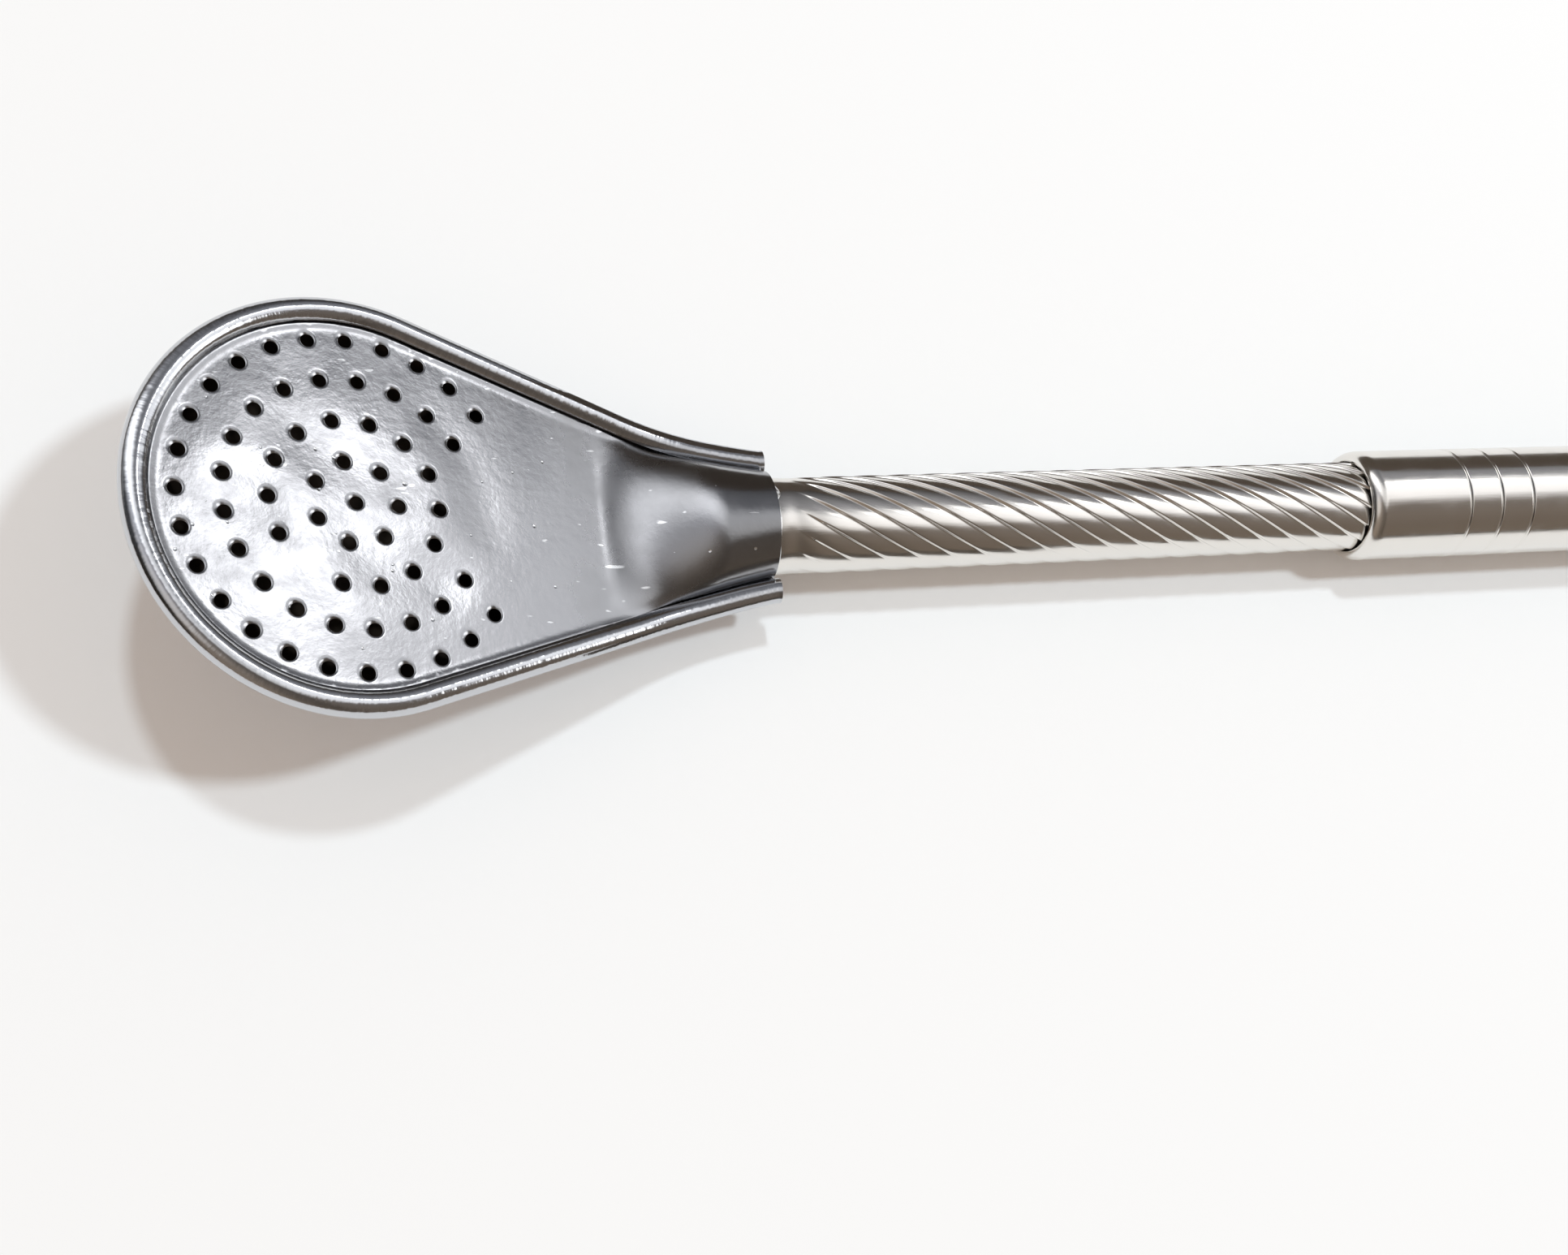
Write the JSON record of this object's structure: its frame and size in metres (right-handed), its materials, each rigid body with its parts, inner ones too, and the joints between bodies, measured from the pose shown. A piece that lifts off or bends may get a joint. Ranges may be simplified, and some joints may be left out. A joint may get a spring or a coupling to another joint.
{
  "type": "bombilla",
  "caption": "Metal mate straw with a flat perforated filter head, a twisted stem and a plain grip tube that pulls off the stem.",
  "frame": {"origin": "bottom centre of the bounding box, with the straw lying on its grip tube and the perforated plate up", "axes": "+X along the stem from the filter head to the mouthpiece, +Y across the head, +Z out of the perforated plate"},
  "size_m": [0.1856, 0.026, 0.0151],
  "materials": {
    "satin_steel": "tumbled satin, with fine scratches and pits",
    "polished_steel": "polished, with fine handling scratches",
    "solder": "dull bright solder, lightly beaded"
  },
  "bodies": {
    "filter_stem": {"front_filter_plate": "satin_steel", "back_filter_bowl": "polished_steel", "stem_tube": "polished_steel", "neck_solder": "solder"},
    "grip": {"grip_tube": "polished_steel", "mouthpiece": "polished_steel"}
  },
  "joints": [
    {"name": "grip_slide", "type": "slide", "parent": "filter_stem", "child": "grip", "axis": [1, 0, 0], "range_m": [0, 0.0145]}
  ]
}
